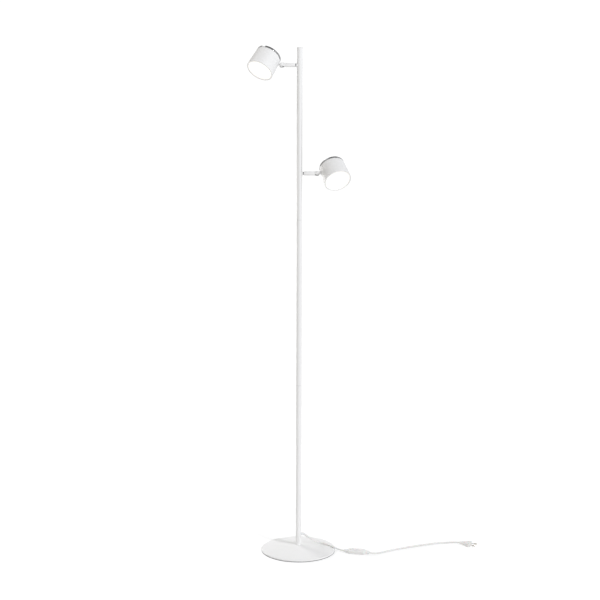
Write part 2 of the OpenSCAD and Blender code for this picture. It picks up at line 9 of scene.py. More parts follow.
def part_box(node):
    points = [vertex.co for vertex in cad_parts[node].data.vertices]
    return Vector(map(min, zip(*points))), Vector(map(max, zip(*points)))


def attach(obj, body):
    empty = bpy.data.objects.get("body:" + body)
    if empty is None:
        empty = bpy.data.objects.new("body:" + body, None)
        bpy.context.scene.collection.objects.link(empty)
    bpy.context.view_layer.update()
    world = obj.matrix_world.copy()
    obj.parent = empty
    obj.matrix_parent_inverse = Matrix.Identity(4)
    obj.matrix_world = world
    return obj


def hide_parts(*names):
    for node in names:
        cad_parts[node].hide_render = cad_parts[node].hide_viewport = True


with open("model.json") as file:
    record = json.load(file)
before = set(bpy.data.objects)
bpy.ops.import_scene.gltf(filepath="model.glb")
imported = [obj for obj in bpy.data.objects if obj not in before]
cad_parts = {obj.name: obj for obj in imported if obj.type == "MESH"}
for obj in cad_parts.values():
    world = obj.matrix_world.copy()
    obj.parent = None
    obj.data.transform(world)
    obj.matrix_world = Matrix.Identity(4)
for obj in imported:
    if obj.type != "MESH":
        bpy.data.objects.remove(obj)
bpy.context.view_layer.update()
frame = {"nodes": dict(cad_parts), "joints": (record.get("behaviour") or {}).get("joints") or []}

MM = 0.001
WHICH = ("upper", "lower")
JOINTS = {j["name"]: j for j in frame["joints"]}


# ---- camera --------------------------------------------------------------

CAMERA_AT = (0.0028, -4.176, 1.461)
CAMERA_DOWN = 9.436      # degrees below the horizon
CAMERA_ROLL = 0.17
CAMERA_LENS = 86.35


def add_camera():
    """The camera looks along +Y, a little down, from the height of the upper arm."""
    data = bpy.data.cameras.new("camera")
    data.lens = CAMERA_LENS
    data.sensor_width = 36
    camera = bpy.data.objects.new("camera", data)
    bpy.context.scene.collection.objects.link(camera)
    camera.matrix_world = (
        Matrix.Translation(CAMERA_AT)
        @ Matrix.Rotation(math.radians(90 - CAMERA_DOWN), 4, "X")
        @ Matrix.Rotation(math.radians(CAMERA_ROLL), 4, "Z")
    )
    bpy.context.scene.camera = camera


add_camera()


# ---- materials -----------------------------------------------------------

class Shader:
    """A material and a few short ways to wire its nodes."""

    def __init__(self, name, color, rough, metal=0.0):
        self.material = bpy.data.materials.new(name)
        self.material.use_nodes = True
        self.nodes = self.material.node_tree.nodes
        self.links = self.material.node_tree.links
        self.surface = self.nodes["Principled BSDF"]
        self.surface.inputs["Base Color"].default_value = (*color, 1)
        self.surface.inputs["Roughness"].default_value = rough
        self.surface.inputs["Metallic"].default_value = metal
        self.place = self.nodes.new("ShaderNodeTexCoord").outputs["Object"]

    def set(self, **values):
        """Sets shader sockets by name, with _ for each space."""
        for name, value in values.items():
            self.surface.inputs[name.replace("_", " ")].default_value = value
        return self

    def noise(self, scale, detail=2.0, rough=0.5, stretch=None):
        """A cloudy 0 to 1 pattern in the object's own space."""
        place = self.place
        if stretch:
            mapping = self.nodes.new("ShaderNodeMapping")
            mapping.inputs["Scale"].default_value = stretch
            self.links.new(place, mapping.inputs["Vector"])
            place = mapping.outputs["Vector"]
        node = self.nodes.new("ShaderNodeTexNoise")
        node.inputs["Scale"].default_value = scale
        node.inputs["Detail"].default_value = detail
        node.inputs["Roughness"].default_value = rough
        self.links.new(place, node.inputs["Vector"])
        return node.outputs["Fac"]

    def cells(self, scale):
        """The distance to the nearest of many scattered points: small round cells."""
        node = self.nodes.new("ShaderNodeTexVoronoi")
        node.inputs["Scale"].default_value = scale
        self.links.new(self.place, node.inputs["Vector"])
        return node.outputs["Distance"]

    def spread(self, fac, low, high):
        """Maps the middle of a 0 to 1 pattern, where noise mostly lies, onto low to high."""
        node = self.nodes.new("ShaderNodeMapRange")
        node.inputs["From Min"].default_value = 0.3
        node.inputs["From Max"].default_value = 0.7
        node.inputs["To Min"].default_value = low
        node.inputs["To Max"].default_value = high
        self.links.new(fac, node.inputs["Value"])
        return node.outputs["Result"]

    def tint(self, fac, first, second):
        """Base colour that runs from first to second with the pattern."""
        ramp = self.nodes.new("ShaderNodeValToRGB")
        ramp.color_ramp.elements[0].position = 0.3
        ramp.color_ramp.elements[0].color = (*first, 1)
        ramp.color_ramp.elements[1].position = 0.7
        ramp.color_ramp.elements[1].color = (*second, 1)
        self.links.new(fac, ramp.inputs["Fac"])
        self.links.new(ramp.outputs["Color"], self.surface.inputs["Base Color"])
        return self

    def rough(self, fac, low, high):
        """Roughness that varies from low to high with the pattern."""
        self.links.new(self.spread(fac, low, high), self.surface.inputs["Roughness"])
        return self

    def bump(self, fac, depth, strength=1.0):
        """Relief of the given depth in metres; a second call adds to the first."""
        node = self.nodes.new("ShaderNodeBump")
        node.inputs["Distance"].default_value = depth
        node.inputs["Strength"].default_value = strength
        self.links.new(fac, node.inputs["Height"])
        normal = self.surface.inputs["Normal"]
        if normal.links:
            self.links.new(normal.links[0].from_socket, node.inputs["Normal"])
        self.links.new(node.outputs["Normal"], normal)
        return self


def powder_coat():
    """White satin powder coat: a fine orange peel and a trace of handling marks."""
    s = Shader("white_powder_coat", (0.86, 0.86, 0.86), 0.5)
    s.tint(s.noise(9, 4), (0.85, 0.85, 0.845), (0.87, 0.87, 0.87))
    s.rough(s.noise(38, 5, 0.6), 0.44, 0.56)
    s.bump(s.noise(850, 3), 0.00006, 0.35)
    s.bump(s.noise(120, 2), 0.00010, 0.20)
    return s.set(IOR=1.46).material


def chrome():
    """Polished chrome with faint polishing marks and a few dull spots."""
    s = Shader("polished_chrome", (0.46, 0.465, 0.47), 0.08, 1.0)
    s.tint(s.noise(60, 3), (0.43, 0.435, 0.44), (0.49, 0.495, 0.50))
    s.rough(s.noise(260, 5, 0.7), 0.05, 0.13)
    s.bump(s.noise(1500, 2, stretch=(1, 1, 9)), 0.000012, 0.3)
    return s.material


def turned_metal(name, color, low, high):
    """Plated, turned or cast metal, satin, with fine tool marks."""
    s = Shader(name, color, low, 1.0)
    s.rough(s.noise(300, 4, 0.6), low, high)
    s.tint(s.noise(45, 3), tuple(c * 0.94 for c in color), color)
    s.bump(s.noise(1400, 2, stretch=(1, 1, 14)), 0.00003, 0.4)
    return s.material


def cord_pvc():
    """Soft satin PVC of the mains lead, with a faint fine grain."""
    s = Shader("white_lead_pvc", (0.80, 0.80, 0.785), 0.42)
    s.tint(s.noise(30, 3), (0.785, 0.785, 0.765), (0.82, 0.82, 0.81))
    s.rough(s.noise(160, 4, 0.6), 0.36, 0.50)
    s.bump(s.noise(700, 3), 0.00004, 0.35)
    return s.set(Subsurface_Weight=0.08, Subsurface_Scale=0.002, IOR=1.48).material


def moulded(name, color, grain=1700.0, low=0.34, high=0.46):
    """Moulded plastic with a fine spark-eroded grain."""
    s = Shader(name, color, low)
    s.tint(s.noise(24, 3), tuple(c * 0.985 for c in color), color)
    s.rough(s.noise(210, 4, 0.6), low, high)
    s.bump(s.cells(grain), 0.00003, 0.45)
    return s.set(IOR=1.48, Subsurface_Weight=0.05, Subsurface_Scale=0.001).material


def bezel_partly_painted_glow(strength):
    """Glossy white plastic that glows a little: partly the LEDs' light through it, partly painted
    light that keeps the ring bright.
    """
    material = moulded("white_bezel", (0.84, 0.84, 0.83), 1200, 0.25, 0.36)
    surface = material.node_tree.nodes["Principled BSDF"]
    surface.inputs["Emission Color"].default_value = (1.0, 0.98, 0.94, 1)
    surface.inputs["Emission Strength"].default_value = strength
    return material


def opal(strength):
    """Lit opal diffuser: a warm white glow whose tint varies a little in soft clouds."""
    s = Shader("opal_diffuser", (0.35, 0.345, 0.33), 0.40)
    glow = s.noise(22, 2)
    ramp = s.nodes.new("ShaderNodeValToRGB")
    ramp.color_ramp.elements[0].position = 0.25
    ramp.color_ramp.elements[0].color = (1.0, 0.968, 0.905, 1)
    ramp.color_ramp.elements[1].position = 0.75
    ramp.color_ramp.elements[1].color = (1.0, 0.985, 0.945, 1)
    s.links.new(glow, ramp.inputs["Fac"])
    s.links.new(ramp.outputs["Color"], s.surface.inputs["Emission Color"])
    s.bump(s.cells(900), 0.00004, 0.4)
    return s.set(Emission_Strength=strength, IOR=1.49).material


def cast_iron():
    """Dark sand-cast iron of the base weight."""
    s = Shader("cast_iron", (0.10, 0.10, 0.105), 0.6, 0.9)
    s.tint(s.noise(70, 5), (0.07, 0.07, 0.075), (0.16, 0.155, 0.15))
    s.rough(s.noise(180, 4), 0.5, 0.8)
    s.bump(s.noise(420, 5, 0.7), 0.0003, 0.6)
    return s.material


def foam():
    """Dark closed-cell foam of the base pad."""
    s = Shader("dark_foam", (0.035, 0.035, 0.037), 0.85)
    s.tint(s.noise(400, 3), (0.028, 0.028, 0.030), (0.055, 0.055, 0.058))
    s.rough(s.noise(150, 3), 0.75, 0.95)
    s.bump(s.cells(1300), 0.0002, 0.7)
    return s.material


def solder_mask():
    """White solder mask of the LED board, mottled in cells of about 4 mm."""
    s = Shader("led_board_white", (0.82, 0.82, 0.76), 0.4)
    s.tint(s.cells(260), (0.80, 0.80, 0.74), (0.88, 0.86, 0.74))
    s.rough(s.noise(300, 3), 0.3, 0.5)
    return s.material


PAINT = powder_coat()
CHROME = chrome()
ZINC = turned_metal("zinc_plated_steel", (0.60, 0.61, 0.63), 0.24, 0.40)
SINK = turned_metal("cast_aluminium", (0.66, 0.67, 0.69), 0.38, 0.58)
NICKEL = turned_metal("nickel_plated_brass", (0.74, 0.70, 0.62), 0.14, 0.26)
PVC = cord_pvc()
HOUSING = moulded("white_moulded_housing", (0.84, 0.84, 0.825))
# the bezel's glow is partly painted light
BEZEL = bezel_partly_painted_glow(0.16)
REFLECTOR = moulded("white_reflector", (0.90, 0.90, 0.90), 800, 0.12, 0.20)
NYLON = moulded("dark_nylon", (0.05, 0.05, 0.053), 1200, 0.40, 0.55)
OPAL = opal(0.82)
IRON = cast_iron()
FOAM = foam()
BOARD = solder_mask()


# ---- mesh helpers --------------------------------------------------------

def link(name, mesh, material, sharp=32):
    """Turns a mesh into a shown piece, smooth except where it bends by more than sharp."""
    piece = bpy.data.objects.new(name, mesh)
    bpy.context.scene.collection.objects.link(piece)
    mesh.materials.append(material)
    mesh.shade_smooth()
    mesh.set_sharp_from_angle(angle=math.radians(sharp))
    return piece


def settle(piece, body, slot, *nodes):
    """Rides the piece on its body and lets it stand for CAD nodes. The slot is not used."""
    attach(piece, body)
    if nodes:
        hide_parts(*nodes)
    return piece


def rounded(corners, closed=False, steps=5):
    """An outline from (x, y, radius) corners, with each corner turned into an arc."""
    out = []
    count = len(corners)
    for i, (x, y, radius) in enumerate(corners):
        here = Vector((x, y))
        if radius == 0 or (not closed and i in (0, count - 1)):
            out.append((x, y))
            continue
        before = Vector(corners[i - 1][:2]) - here
        after = Vector(corners[(i + 1) % count][:2]) - here
        half = before.angle(after) / 2
        reach = min(radius / math.tan(half), 0.49 * before.length, 0.49 * after.length)
        inner = reach / math.cos(half)
        centre = here + (before.normalized() + after.normalized()).normalized() * inner
        start = here + before.normalized() * reach - centre
        end = here + after.normalized() * reach - centre
        turn = start.angle_signed(end)
        for k in range(steps + 1):
            spoke = start.copy()
            spoke.rotate(Matrix.Rotation(-turn * k / steps, 2))
            out.append(tuple(centre + spoke))
    return out


def lathe_mesh(name, outline, place, sides=128):
    """A body of revolution about place's z axis; the outline is (radius, height) in mm.

    An outline that starts and ends on the axis is a solid, and any other is a closed ring."""
    bm = bmesh.new()
    rings = []
    for r, z in outline:
        if r < 1e-6:
            rings.append([bm.verts.new(place @ Vector((0, 0, z * MM)))])
            continue
        turn = 2 * math.pi / sides
        rings.append([
            bm.verts.new(place @ Vector((r * MM * math.cos(k * turn),
                                         r * MM * math.sin(k * turn), z * MM)))
            for k in range(sides)])
    on_axis = outline[0][0] < 1e-6
    pairs = list(zip(rings, rings[1:]))
    if not on_axis:
        pairs.append((rings[-1], rings[0]))
    for a, b in pairs:
        for k in range(sides):
            n = (k + 1) % sides
            if len(a) == 1 and len(b) == 1:
                continue
            if len(a) == 1:
                bm.faces.new((a[0], b[n], b[k]))
            elif len(b) == 1:
                bm.faces.new((a[k], a[n], b[0]))
            else:
                bm.faces.new((a[k], a[n], b[n], b[k]))
    bmesh.ops.recalc_face_normals(bm, faces=bm.faces)
    mesh = bpy.data.meshes.new(name)
    bm.to_mesh(mesh)
    bm.free()
    return mesh


def lathe(name, outline, place, material, sides=128, sharp=32):
    """A lathed mesh as a shown piece."""
    return link(name, lathe_mesh(name, outline, place, sides), material, sharp)


def skin_rings(name, rings):
    """A mesh over a list of equal rings of points, capped at both ends."""
    bm = bmesh.new()
    made = [[bm.verts.new(p) for p in ring] for ring in rings]
    count = len(made[0])
    for a, b in zip(made, made[1:]):
        for k in range(count):
            n = (k + 1) % count
            bm.faces.new((a[k], a[n], b[n], b[k]))
    bm.faces.new(made[0])
    bm.faces.new(made[-1])
    bmesh.ops.recalc_face_normals(bm, faces=bm.faces)
    mesh = bpy.data.meshes.new(name)
    bm.to_mesh(mesh)
    bm.free()
    return mesh


def oval(half_w, low, high, power, count=64):
    """A rounded rectangle section, as (y, z) in mm; a higher power is squarer."""
    mid = (low + high) / 2
    half_h = (high - low) / 2
    out = []
    for k in range(count):
        a = 2 * math.pi * k / count
        c, s = math.cos(a), math.sin(a)
        out.append((half_w * math.copysign(abs(c) ** (2 / power), c),
                    mid + half_h * math.copysign(abs(s) ** (2 / power), s)))
    return out


def loft(name, stations, place):
    """A mesh through sections (x, half width, low, high, power), in mm along place's x."""
    rings = [[place @ Vector((x * MM, y * MM, z * MM))
              for y, z in oval(half_w, low, high, power)]
             for x, half_w, low, high, power in stations]
    return skin_rings(name, rings)


def box_mesh(name, low, high, place, edge):
    """A box with rounded edges, in mm in place's frame."""
    bm = bmesh.new()
    bmesh.ops.create_cube(bm, size=1.0)
    for v in bm.verts:
        v.co = Vector([(a + b) / 2 + c * (b - a) for a, b, c in zip(low, high, v.co)]) * MM
    bmesh.ops.bevel(bm, geom=bm.edges[:], offset=edge * MM, segments=3,
                    profile=0.5, affect="EDGES")
    bm.transform(place)
    mesh = bpy.data.meshes.new(name)
    bm.to_mesh(mesh)
    bm.free()
    return mesh


def combine(name, meshes):
    """Several meshes as one; they stay separate shells."""
    bm = bmesh.new()
    for mesh in meshes:
        bm.from_mesh(mesh)
        bpy.data.meshes.remove(mesh)
    mesh = bpy.data.meshes.new(name)
    bm.to_mesh(mesh)
    bm.free()
    return mesh


def carve(mesh, tool, operation="DIFFERENCE"):
    """The mesh with the tool's mesh cut away, or joined on."""
    a = bpy.data.objects.new("carved", mesh)
    b = bpy.data.objects.new("tool", tool)
    for o in (a, b):
        bpy.context.scene.collection.objects.link(o)
    cut = a.modifiers.new("cut", "BOOLEAN")
    cut.operation = operation
    cut.solver = "EXACT"
    cut.object = b
    graph = bpy.context.evaluated_depsgraph_get()
    made = bpy.data.meshes.new_from_object(a.evaluated_get(graph))
    for o in (a, b):
        data = o.data
        bpy.data.objects.remove(o)
        bpy.data.meshes.remove(data)
    return made


def keep_side(mesh, point, normal):
    """The part of a closed mesh on the side that the normal points to, capped."""
    bm = bmesh.new()
    bm.from_mesh(mesh)
    cut = bmesh.ops.bisect_plane(bm, geom=bm.verts[:] + bm.edges[:] + bm.faces[:],
                                 plane_co=point, plane_no=normal, clear_inner=True)
    rim = [e for e in cut["geom_cut"] if isinstance(e, bmesh.types.BMEdge)]
    bmesh.ops.holes_fill(bm, edges=rim, sides=0)
    bmesh.ops.recalc_face_normals(bm, faces=bm.faces)
    bm.to_mesh(mesh)
    bm.free()
    return mesh


def axes(origin, x, z):
    """A frame at origin with the given x and z directions."""
    z = z.normalized()
    y = z.cross(x).normalized()
    x = y.cross(z)
    turn = Matrix((x, y, z)).transposed().to_4x4()
    return Matrix.Translation(origin) @ turn


# ---- the mains lead ------------------------------------------------------

CORD_D = 5.0
SWITCH_L = 76.0
SWITCH_TURN = math.radians(-12)
LEAD_TO_SWITCH = [
    (28, 13, 38.5), (36, 18.2, 31.5), (45, 23.6, 24.2), (55, 28, 18), (66, 30, 13.6),
    (78, 27, 11), (90, 19, 9.9), (100, 8.5, 9.3), (109, -2.5, 8.7), (118, -12, 7.9),
    (127.5, -19.2, 7.1), (138, -24, 6.5)]
SWITCH_IN = Vector(LEAD_TO_SWITCH[-1])
SWITCH_OUT = SWITCH_IN + SWITCH_L * Vector((math.cos(SWITCH_TURN), math.sin(SWITCH_TURN), 0))
LEAD_TO_PLUG = [
    tuple(SWITCH_OUT), (222, -41, 4.7), (236, -37, 2.9), (252, -28, 2.5), (270, -16, 2.5),
    (288, -5, 2.5), (309, 6, 2.5), (328, 16, 2.5), (348, 26, 2.5), (372, 36, 2.5),
    (398, 47, 2.5), (422, 56, 2.5), (445, 61, 2.6), (464, 61, 3.5), (479, 57, 5.6),
    (492, 51.6, 6.85)]


def lead_curve():
    """One smooth curve from the gland, through the switch, to the plug."""
    points = [Vector(p) * MM for p in LEAD_TO_SWITCH + LEAD_TO_PLUG]
    data = bpy.data.curves.new("mains_lead", "CURVE")
    data.dimensions = "3D"
    data.bevel_depth = CORD_D / 2 * MM
    data.bevel_resolution = 6
    data.resolution_u = 10
    data.use_fill_caps = True
    spline = data.splines.new("BEZIER")
    spline.bezier_points.add(len(points) - 1)
    for i, (knot, p) in enumerate(zip(spline.bezier_points, points)):
        before = points[max(0, i - 1)]
        after = points[min(len(points) - 1, i + 1)]
        way = (after - before).normalized()
        knot.co = p
        knot.handle_left_type = knot.handle_right_type = "FREE"
        knot.handle_left = p - way * (p - before).length / 3
        knot.handle_right = p + way * (after - p).length / 3
    piece = bpy.data.objects.new("mains_lead", data)
    bpy.context.scene.collection.objects.link(piece)
    data.materials.append(PVC)
    return piece


SWITCH = (Matrix.Translation(Vector((SWITCH_IN.x, SWITCH_IN.y, 0)) * MM)
          @ Matrix.Rotation(SWITCH_TURN, 4, "Z"))
SWITCH_W = 22.0
SWITCH_H = 13.0
SPLIT_Z = 6.2
ROCKER_X = 30.0
ROCKER_L = 17.0
ROCKER_W = 11.0
ROCKER_PIVOT_Z = 10.6
ROCKER_TIP = 8.0


def switch_stations():
    """Sections of the in-line switch: a neck, a full body and a neck."""
    half = SWITCH_W / 2
    neck_w, neck_low, neck_high = 4.4, 2.2, 10.8
    body_low = 0.2
    marks = [(0.0, 0.0), (0.6, 0.12), (8, 0.22), (10, 0.34), (12, 0.58), (14, 0.82),
             (16, 0.95), (18.5, 1.0)]
    marks += [(SWITCH_L - x, f) for x, f in reversed(marks)]
    out = []
    for x, f in marks:
        low = neck_low + (body_low - neck_low) * f
        high = neck_high + (SWITCH_H - neck_high) * f
        out.append((x, neck_w + (half - neck_w) * f, low, high, 2.4 + 3.2 * f))
    return out


def rocker_cutter(gap, low, edge):
    """A box over the rocker, wider than it by gap all round and reaching down to low."""
    half_l, half_w = ROCKER_L / 2 + gap, ROCKER_W / 2 + gap
    return box_mesh("cutter", (ROCKER_X - half_l, -half_w, low),
                    (ROCKER_X + half_l, half_w, SWITCH_H + 7.0), SWITCH, edge)


def switch_pieces():
    """Two housing halves with a fine seam, and a well with a shallow rim for the rocker."""
    seam = 0.12
    well_gap, well_floor = 0.35, 8.0
    rim_gap, rim_depth = 1.6, 0.45
    up = Vector((0, 0, 1))
    base = keep_side(loft("switch_lower_half", switch_stations(), SWITCH),
                     Vector((0, 0, (SPLIT_Z - seam) * MM)), -up)
    cover = keep_side(loft("switch_upper_half", switch_stations(), SWITCH),
                      Vector((0, 0, (SPLIT_Z + seam) * MM)), up)
    cover = carve(cover, rocker_cutter(well_gap, well_floor, 0.5))
    cover = carve(cover, rocker_cutter(rim_gap, SWITCH_H - rim_depth, 0.6))
    lower = link("switch_lower_half", base, HOUSING)
    upper = link("switch_upper_half", cover, HOUSING)
    settle(lower, "stand", "white_plastic", "switch_base")
    settle(upper, "stand", "white_plastic", "switch_cover")
    return lower, upper


def rocker_piece():
    """Rocker key: two shallow slopes with rounded edges and three grip ribs on one of them."""
    half = ROCKER_L / 2
    slope = math.radians(ROCKER_TIP)
    rise = half * math.tan(slope)
    crown = 2.6             # height of the key's middle above its pivot
    inset = 0.45            # rounding at the key's two sides
    rib_count, rib_first, rib_pitch = 3, 2.2, 1.5
    pivot = (SWITCH @ Matrix.Translation(Vector((ROCKER_X, 0, ROCKER_PIVOT_Z)) * MM)
             @ Matrix.Rotation(slope, 4, "Y"))
    side = rounded([(-half, rise * 0.4, 0.3), (-half, rise + crown, 0.5), (0, crown, 6),
                    (half, rise + crown, 0.5), (half, rise * 0.4, 0.3),
                    (half - 2.5, -1.4, 1), (0, -2.4, 6), (-half + 2.5, -1.4, 1)], True, 4)
    bm = bmesh.new()
    layers = []
    for y, shrink in ((-ROCKER_W / 2, inset), (-ROCKER_W / 2 + 0.13, inset * 0.3),
                      (-ROCKER_W / 2 + inset, 0), (ROCKER_W / 2 - inset, 0),
                      (ROCKER_W / 2 - 0.13, inset * 0.3), (ROCKER_W / 2, inset)):
        scale = 1 - shrink / half
        layers.append([bm.verts.new(Vector((x * scale, y, 1 + (z - 1) * (1 - shrink / 3))) * MM)
                       for x, z in side])
    count = len(side)
    for a, b in zip(layers, layers[1:]):
        for k in range(count):
            bm.faces.new((a[k], a[(k + 1) % count], b[(k + 1) % count], b[k]))
    bm.faces.new(layers[0])
    bm.faces.new(layers[-1])
    bmesh.ops.recalc_face_normals(bm, faces=bm.faces)
    bm.transform(pivot)
    body = bpy.data.meshes.new("rocker_key")
    bm.to_mesh(body)
    bm.free()
    for k in range(rib_count):
        x = -half + rib_first + rib_pitch * k
        top = crown - 0.05 - x * math.tan(slope)
        seat = pivot @ Matrix.Translation(Vector((x, 0, top)) * MM)
        rib = box_mesh("rib", (-0.3, -3.4, -0.6), (0.3, 3.4, 0.35),
                       seat @ Matrix.Rotation(slope, 4, "Y"), 0.2)
        body = carve(body, rib, "UNION")
    return settle(link("rocker_key", body, HOUSING, 28), "rocker", "white_plastic",
                  "switch_rocker")


PLUG_IN = Vector(LEAD_TO_PLUG[-1])
PLUG_TURN = -26.0
PLUG = Matrix.Translation(PLUG_IN * MM) @ Matrix.Rotation(math.radians(PLUG_TURN), 4, "Z")
PLUG_L = 36.0
RELIEF_L = 12.4         # length of the plug's ribbed strain relief
RELIEF_HALF = 5.65      # half its thickness where it meets the grip
PIN_HALF = 9.3          # half the distance between the pins
PIN_R = 2.0
PIN_L = 19.0
SLEEVE_L = 9.5


def plug_shell():
    """Flat plug body: a ribbed strain relief, then a grip that widens to a square front,
    with grooves in its sides."""
    half_t = PLUG_IN.z - 0.15
    stations = []
    for k in range(14):
        x = 0.3 + k * 0.85
        groove = 0.5 if k % 3 == 1 else 0.0
        r = 3.0 + 2.6 * (x / 12.0) ** 1.2 - groove
        stations.append((x, r + 0.9 * (x / 12.0) ** 2, -r, r, 2.1))
    steps = 28
    for k in range(steps + 1):
        x = RELIEF_L + (PLUG_L - RELIEF_L) * k / steps
        f = (x - RELIEF_L) / (PLUG_L - RELIEF_L)
        ease = f * f * (3 - 2 * f)
        wide = 6.6 + 9.6 * ease
        high = RELIEF_HALF + (half_t - RELIEF_HALF) * min(1, 1.6 * ease)
        if 0.30 < f < 0.80 and k % 3 == 0:
            wide -= 0.55
        stations.append((x, wide, -high, high, 2.2 + 3.0 * ease))
    x, wide, low, high, power = stations[-1]
    stations[-1] = (x - 0.7, wide, low, high, power)
    stations.append((x - 0.2, wide - 0.3, low + 0.3, high - 0.3, power))
    stations.append((x, wide - 0.9, low + 0.9, high - 0.9, power))
    body = loft("plug_shell", stations, PLUG)
    return settle(link("plug_shell", body, HOUSING, 40), "stand", "white_plastic", "plug_body")


def plug_pin_pieces():
    """Two pins, each a plated tip with an insulating sleeve over its root."""
    neck = 1.5
    tip_line = rounded([(0, -6, 0), (neck, -6, 0.2), (neck, SLEEVE_L + 0.1, 0.1),
                        (PIN_R, SLEEVE_L + 0.1, 0.2), (PIN_R, PIN_L, 1.2), (0, PIN_L, 0)])
    sleeve_line = rounded([(neck + 0.02, -0.3, 0), (2.6, -0.3, 0.1), (2.6, 0.5, 0.3),
                           (PIN_R - 0.02, 0.8, 0.2), (PIN_R - 0.02, SLEEVE_L, 0.25),
                           (neck + 0.02, SLEEVE_L, 0)], True)
    tips, sleeves = [], []
    turn = Matrix.Rotation(math.radians(90), 4, "Y")
    for side in (-1, 1):
        place = PLUG @ Matrix.Translation(Vector((PLUG_L, side * PIN_HALF, 0)) * MM) @ turn
        tips.append(lathe_mesh("tip", tip_line, place, 40))
        sleeves.append(lathe_mesh("sleeve", sleeve_line, place, 40))
    metal = link("plug_pin_tips", combine("plug_pin_tips", tips), NICKEL)
    sleeve = link("plug_pin_sleeves", combine("plug_pin_sleeves", sleeves), HOUSING)
    settle(metal, "stand", "pin_brass", "plug_pins")
    settle(sleeve, "stand", "white_plastic")
    return metal, sleeve


GLAND_Z = 50.0
GLAND_TURN = 25.0
BOOT_R = 4.1            # radius of the boot at the pole
BOOT_TAPER = 1.25       # how much less it is at the lead
BOOT_GROOVE = 0.55      # depth of the grooves between its ribs


def gland_boot():
    """Strain relief: a collar on the pole and a ribbed boot that droops with the lead."""
    turn = math.radians(GLAND_TURN)
    out = Vector((math.cos(turn), math.sin(turn), 0))
    root = Vector((0, 0, GLAND_Z))
    tip = Vector(LEAD_TO_SWITCH[0])
    way = (Vector(LEAD_TO_SWITCH[1]) - tip).normalized()
    start = root + out * 9.0
    reach = (tip - start).length * 0.36
    knots = [start, start + out * reach, tip - way * reach, tip]
    steps, sides = 44, 40
    rings = []
    up = Vector((0, 0, 1))
    for k in range(steps + 1):
        t = k / steps
        b = [(1 - t) ** 3, 3 * t * (1 - t) ** 2, 3 * t * t * (1 - t), t ** 3]
        spot = sum((w * p for w, p in zip(b, knots)), Vector())
        d = [-(1 - t) ** 2, (1 - t) ** 2 - 2 * t * (1 - t), 2 * t * (1 - t) - t * t, t * t]
        along = sum((w * p for w, p in zip(d, knots)), Vector()).normalized()
        across = along.cross(up).normalized()
        lift = across.cross(along)
        radius = BOOT_R - BOOT_TAPER * t ** 0.8
        if 0.16 < t < 0.94 and k % 6 in (0, 1):
            radius -= BOOT_GROOVE
        rings.append([(spot + radius * (math.cos(a) * across + math.sin(a) * lift)) * MM
                      for a in (2 * math.pi * j / sides for j in range(sides))])
    boot = skin_rings("boot", rings)
    place = (Matrix.Translation(root * MM) @ Matrix.Rotation(turn, 4, "Z")
             @ Matrix.Rotation(math.radians(90), 4, "Y"))
    collar = lathe_mesh("collar", rounded(
        [(0, 7.0, 0), (4.6, 7.0, 0), (4.6, 9.2, 0.6), (3.9, 10.2, 0.3), (0, 10.2, 0)]), place, 64)
    piece = link("strain_relief", combine("strain_relief", [boot, collar]), PVC, 40)
    return settle(piece, "stand", "white_pvc", "cable_gland")


def add_lead():
    """The mains lead, with the switch and the plug on it."""
    lead = lead_curve()
    settle(lead, "stand", "white_pvc", "cord_to_switch", "cord_to_plug")
    lower, upper = switch_pieces()
    key = rocker_piece()
    plug = plug_shell()
    metal, sleeve = plug_pin_pieces()


add_lead()
gland_boot()


# ---- base and pole -------------------------------------------------------

COVER_LOW, COVER_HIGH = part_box("base_cover")
BASE_R = (COVER_HIGH.x - COVER_LOW.x) / 2 / MM
BASE_LOW = COVER_LOW.z / MM
BASE_TOP = COVER_HIGH.z / MM
SEAT_R = 9.0            # flat seat under the pole
BORE_R = 5.2            # hole for the stud
EDGE_Z = 6.0            # height of the cone at its rim
CONE_POWER = 1.4        # above 1, so the cone is slightly hollow
SHEET = 1.2             # thickness of the sheet


def cone_z(r):
    """Height of the cover's upper face, a slightly hollow cone."""
    t = min(1, max(0, (r - SEAT_R) / (BASE_R - SEAT_R)))
    return EDGE_Z + (BASE_TOP - EDGE_Z) * (1 - t) ** CONE_POWER


def base_cover():
    """Spun cover: flat seat, hollow cone and a rolled edge that turns under."""
    roll = 2.4
    steps = 40
    last = BASE_R - roll
    cone = [(SEAT_R + (last - SEAT_R) * k / steps) for k in range(steps + 1)]
    top = [(r, cone_z(r)) for r in cone]
    edge = [(last + roll * math.sin(a), cone_z(last) - roll * (1 - math.cos(a)))
            for a in (math.radians(10 * k) for k in range(1, 10))]
    inside = [(BASE_R - SHEET, BASE_LOW), (BASE_R - SHEET, cone_z(last) - roll)]
    under = [(r - 0.2, z - SHEET) for r, z in reversed(top)]
    foot = [(BASE_R, BASE_LOW + 0.3), (BASE_R - 0.3, BASE_LOW)]
    outline = ([(BORE_R, BASE_TOP)] + top + edge + foot
               + inside + under + [(BORE_R, BASE_TOP - SHEET)])
    piece = lathe("spun_base_cover", outline, Matrix.Identity(4), PAINT, 192, 28)
    return settle(piece, "stand", "white_paint", "base_cover")


def pole_cap():
    """Turned end cap with a soft edge."""
    low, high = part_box("pole_cap")
    r = (high.x - low.x) / 2 / MM
    foot, top = low.z / MM, high.z / MM
    plug_r = r - 1.3        # the part inside the tube
    groove_r = r - 0.25     # the shadow line where cap and tube meet
    outline = rounded([(0, foot, 0), (plug_r, foot, 0.4), (plug_r, top - 3.0, 0),
                       (groove_r, top - 3.0, 0.1), (groove_r, top - 2.7, 0),
                       (r, top - 2.7, 0.1), (r, top, 1.1), (0, top, 0)])
    piece = lathe("turned_pole_cap", outline, Matrix.Identity(4), PAINT, 96, 28)
    return settle(piece, "stand", "white_paint", "pole_cap")


base_cover()
pole_cap()


# ---- heads ---------------------------------------------------------------

